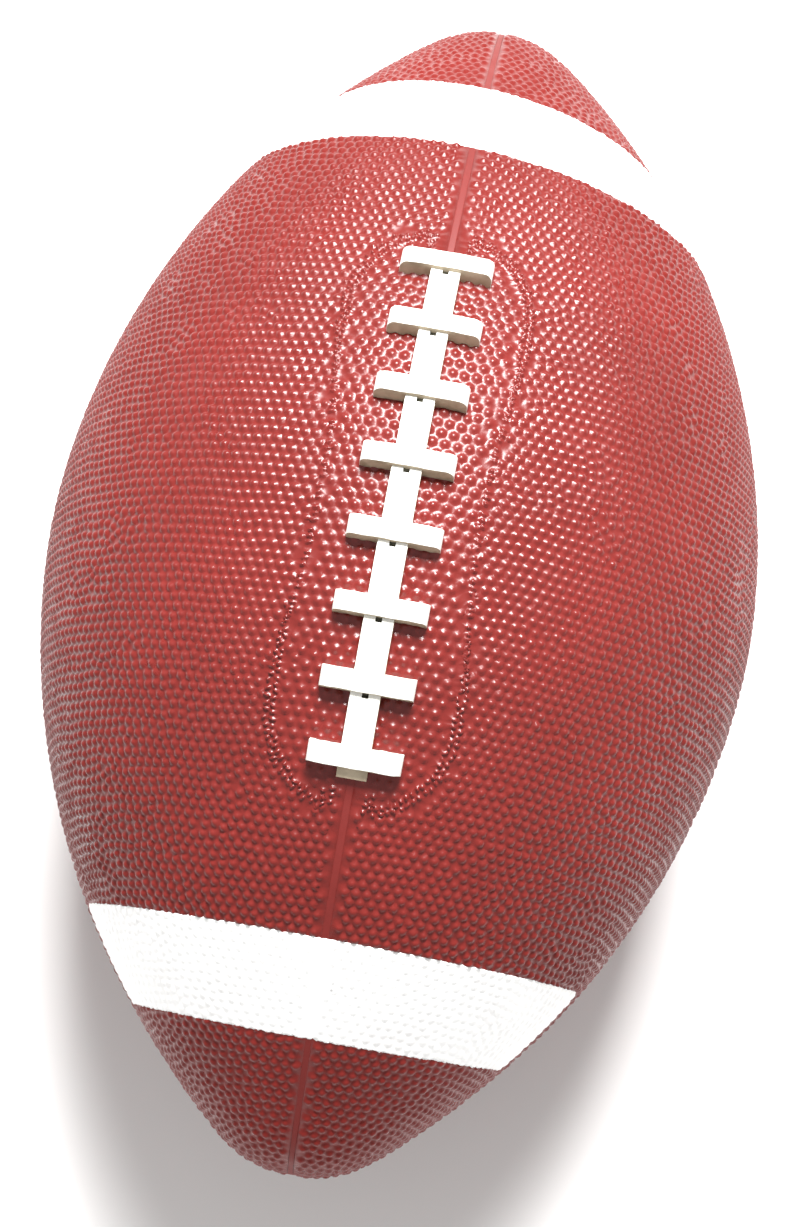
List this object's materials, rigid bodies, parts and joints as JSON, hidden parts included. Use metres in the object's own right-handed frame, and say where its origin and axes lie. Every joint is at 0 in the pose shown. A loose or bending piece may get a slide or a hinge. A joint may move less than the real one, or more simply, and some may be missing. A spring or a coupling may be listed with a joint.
{
  "type": "american football",
  "caption": "Moulded rubber American football: pebbled panels with smooth seams, white end bands and a raised white lace over a wound carcass and bladder.",
  "frame": {"origin": "centre of the ball, halfway between its tips on its long axis", "axes": "+X along the ball's long axis, +Z out through the middle of the lace, +Y to the ball's left"},
  "size_m": [0.2848, 0.1698, 0.1732],
  "materials": {
    "cover": "satin brick-red moulded rubber with a raised round pebble grain",
    "seam": "smooth satin brick-red moulded rubber",
    "winding": "matt wound nylon thread set in rubber cement",
    "bladder": "matt black butyl rubber",
    "valve": "satin dark rubber",
    "band": "satin white printed coat over the pebble grain",
    "lace": "satin off-white moulded vinyl"
  },
  "bodies": {
    "root": {"bladder": "bladder", "cover_panel_belly_left": "cover", "cover_panel_belly_right": "cover", "cover_panel_lace_left": "cover", "cover_panel_lace_right": "cover", "lace_bar_1": "lace", "lace_bar_2": "lace", "lace_bar_3": "lace", "lace_bar_4": "lace", "lace_bar_5": "lace", "lace_bar_6": "lace", "lace_bar_7": "lace", "lace_bar_8": "lace", "lace_spine": "lace", "seam_strip_lace_loop": "seam", "seam_strip_left": "seam", "seam_strip_right": "seam", "valve_boot": "valve", "valve_core": "valve", "white_band_front": "band", "white_band_rear": "band", "wound_carcass": "winding"}
  },
  "joints": []
}
